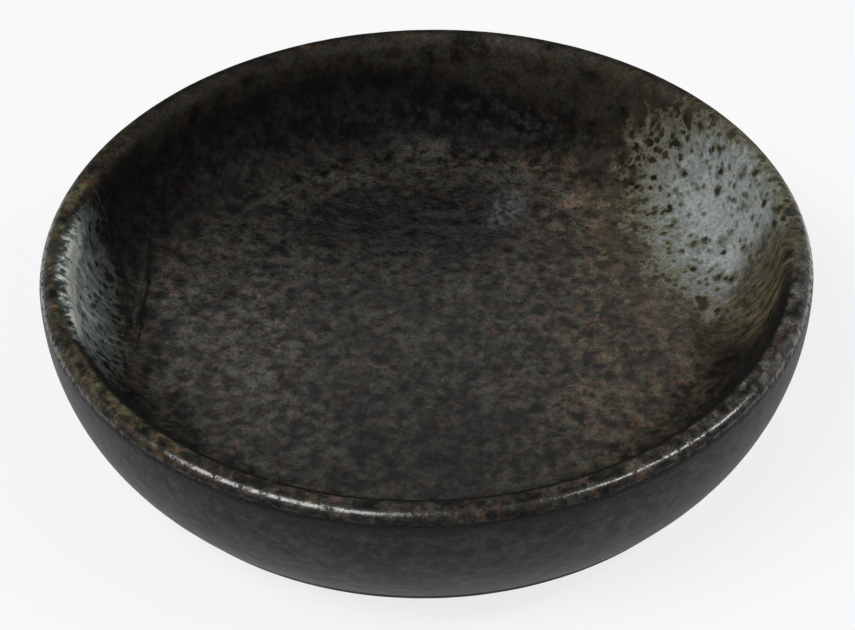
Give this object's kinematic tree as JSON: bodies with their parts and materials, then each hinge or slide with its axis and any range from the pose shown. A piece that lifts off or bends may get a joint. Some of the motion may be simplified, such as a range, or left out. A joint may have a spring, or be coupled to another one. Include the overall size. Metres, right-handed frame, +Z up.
{
  "type": "soy sauce dish",
  "caption": "Small round glazed stoneware dish for soy sauce, with a low curved wall, rounded lip, near-flat floor, pale glaze splashes inside and a bare foot ring.",
  "frame": {"origin": "centre of the foot ring, on the surface that the dish stands on", "axes": "+Z up along the axis of the dish; -Y is the side that faces the viewer in the picture; +X is the side of the larger pale splash"},
  "size_m": [0.095, 0.095, 0.0229],
  "materials": {
    "bare_clay": "matte",
    "dark_glaze": "gloss",
    "pale_glaze": "gloss"
  },
  "bodies": {
    "root": {"clay_body": "bare_clay", "dark_glaze_coat": "dark_glaze", "foot_well_glaze": "dark_glaze", "pale_splash_right": "pale_glaze", "pale_splash_left": "pale_glaze"}
  },
  "joints": []
}
